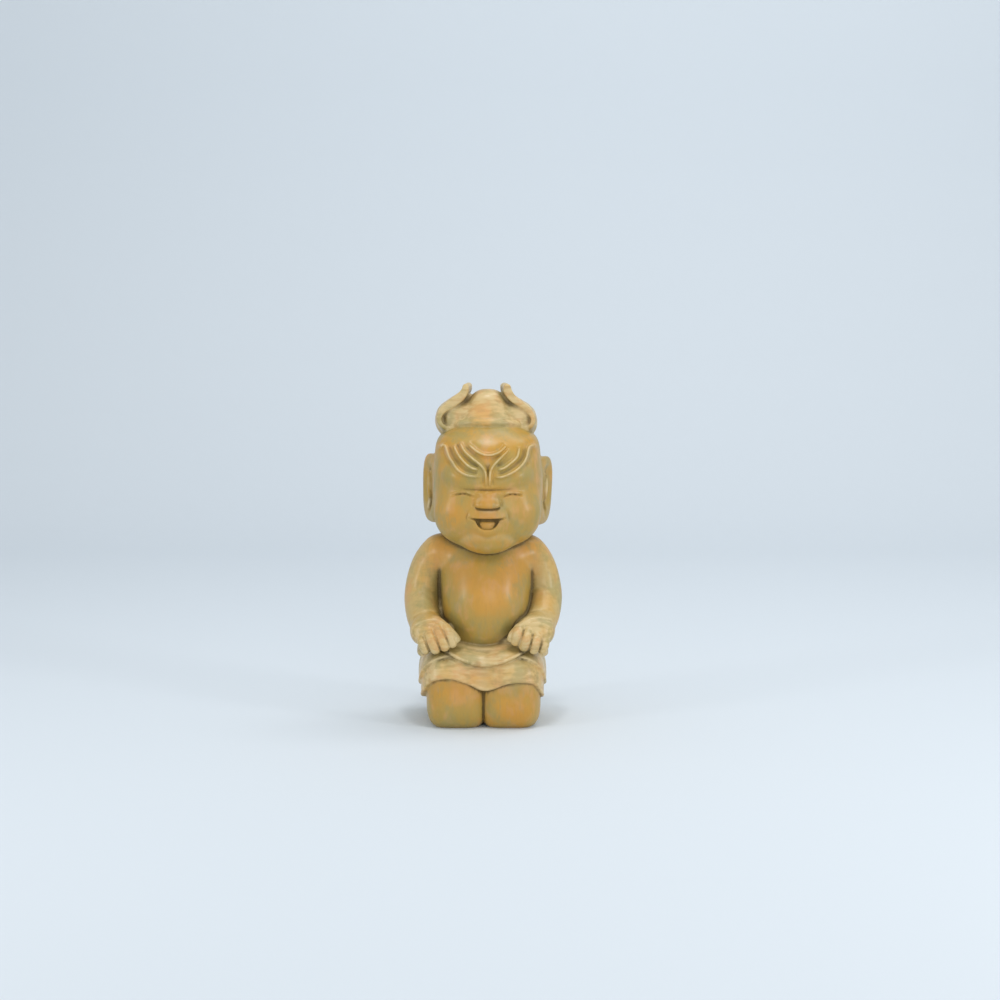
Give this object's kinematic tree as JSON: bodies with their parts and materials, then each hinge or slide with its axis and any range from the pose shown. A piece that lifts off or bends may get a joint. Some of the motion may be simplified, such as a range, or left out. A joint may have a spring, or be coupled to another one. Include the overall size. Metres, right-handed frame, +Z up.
{
  "type": "kneeling guardian figure",
  "caption": "Kneeling child-like guardian figure with a large laughing head, topknot with curled ribbon, bare belly and a short draped skirt, on a flat underside.",
  "frame": {"origin": "centre of the bounding box, on the ground that the figure kneels on", "axes": "+Z up, -Y the way the figure faces, +X towards the viewer's right when the face is seen"},
  "size_m": [0.1108, 0.0962, 0.2358],
  "materials": {
    "patinated_clay": "satin"
  },
  "bodies": {
    "root": {"figure": "patinated_clay"}
  },
  "joints": []
}
